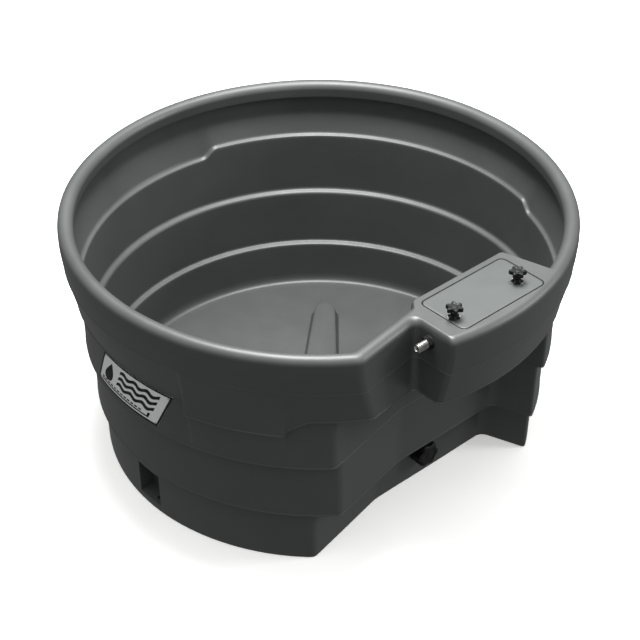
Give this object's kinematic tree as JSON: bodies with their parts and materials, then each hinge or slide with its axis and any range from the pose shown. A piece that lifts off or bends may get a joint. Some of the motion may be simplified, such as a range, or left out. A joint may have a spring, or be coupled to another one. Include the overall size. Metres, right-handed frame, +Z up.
{
  "type": "livestock water trough",
  "caption": "Round moulded trough with stepped walls, a rolled rim, a covered float-valve housing, a threaded inlet and a screw-capped drain.",
  "frame": {"origin": "on the tub's axis at the ground", "axes": "+Z up, -Y from the axis towards the valve housing, -X along the inlet's thread"},
  "size_m": [1.5798, 1.5798, 0.8596],
  "materials": {
    "tub_pe": "rotomoulded polyethylene, satin",
    "cover_pe": "moulded polyethylene, satin",
    "black_plastic": "moulded, semi-gloss",
    "white_plastic": "moulded, satin",
    "float_plastic": "blow-moulded",
    "brass": "machined",
    "nickelled_brass": "nickel-plated, turned",
    "steel": "zinc-plated",
    "rubber": "EPDM",
    "plate": "printed aluminium sheet"
  },
  "bodies": {
    "tub": {"tub": "tub_pe", "anchor_block": "tub_pe", "name_plate": "plate", "plate_rivets": "steel", "valve_body": "nickelled_brass", "inlet_washer_outer": "rubber", "inlet_washer_inner": "rubber", "inlet_nut": "black_plastic", "valve_seat": "white_plastic", "valve_end_cap": "nickelled_brass", "outlet_spout": "white_plastic", "hinge_pin": "steel", "drain_bushing": "black_plastic", "drain_gasket": "rubber", "drain_back_nut": "black_plastic"},
    "cover": {"cover": "cover_pe", "cover_seal": "rubber", "spindle_washer_left": "steel", "spindle_washer_right": "steel"},
    "latch_left": {"knob_left": "black_plastic", "spindle_left": "steel", "tongue_left": "steel", "tongue_nut_left": "steel"},
    "latch_right": {"knob_right": "black_plastic", "spindle_right": "steel", "tongue_right": "steel", "tongue_nut_right": "steel"},
    "piston": {"valve_piston": "brass", "piston_washer": "rubber"},
    "float_arm": {"float_lever": "brass", "float_rod": "steel", "rod_screw": "steel", "rod_nut": "steel", "float": "float_plastic"},
    "cap_carrier": {"cap_seal": "rubber"},
    "cap": {"drain_cap": "black_plastic"}
  },
  "joints": [
    {"name": "cover_lift", "type": "slide", "parent": "tub", "child": "cover", "axis": [0, 0, 1], "range_m": [0, 0.25]},
    {"name": "latch_left_turn", "type": "hinge", "parent": "cover", "child": "latch_left", "pos_m": [-0.1225, -0.688, 0.82], "axis": [0, 0, 1], "range_deg": [0, 90]},
    {"name": "latch_right_turn", "type": "hinge", "parent": "cover", "child": "latch_right", "pos_m": [0.1335, -0.688, 0.82], "axis": [0, 0, -1], "range_deg": [0, 90]},
    {"name": "float_swing", "type": "hinge", "parent": "tub", "child": "float_arm", "pos_m": [-0.12801, -0.675, 0.752], "axis": [0, -1, 0], "range_deg": [0, 25]},
    {"name": "piston_slide", "type": "slide", "parent": "tub", "child": "piston", "axis": [-1, 0, 0], "range_m": [0, 0.0052]},
    {"name": "cap_advance", "type": "slide", "parent": "tub", "child": "cap_carrier", "axis": [0, -1, 0], "range_m": [0, 0.01386]},
    {"name": "cap_turn", "type": "hinge", "parent": "cap_carrier", "child": "cap", "pos_m": [0.022, -0.46, 0.108], "axis": [0, -1, 0], "range_deg": [0, 2160]}
  ],
  "couplings": [
    {"joint": "piston_slide", "follows": "float_swing", "m_per_rad": 0.011905},
    {"joint": "cap_advance", "follows": "cap_turn", "m_per_rad": 0.00036749}
  ]
}
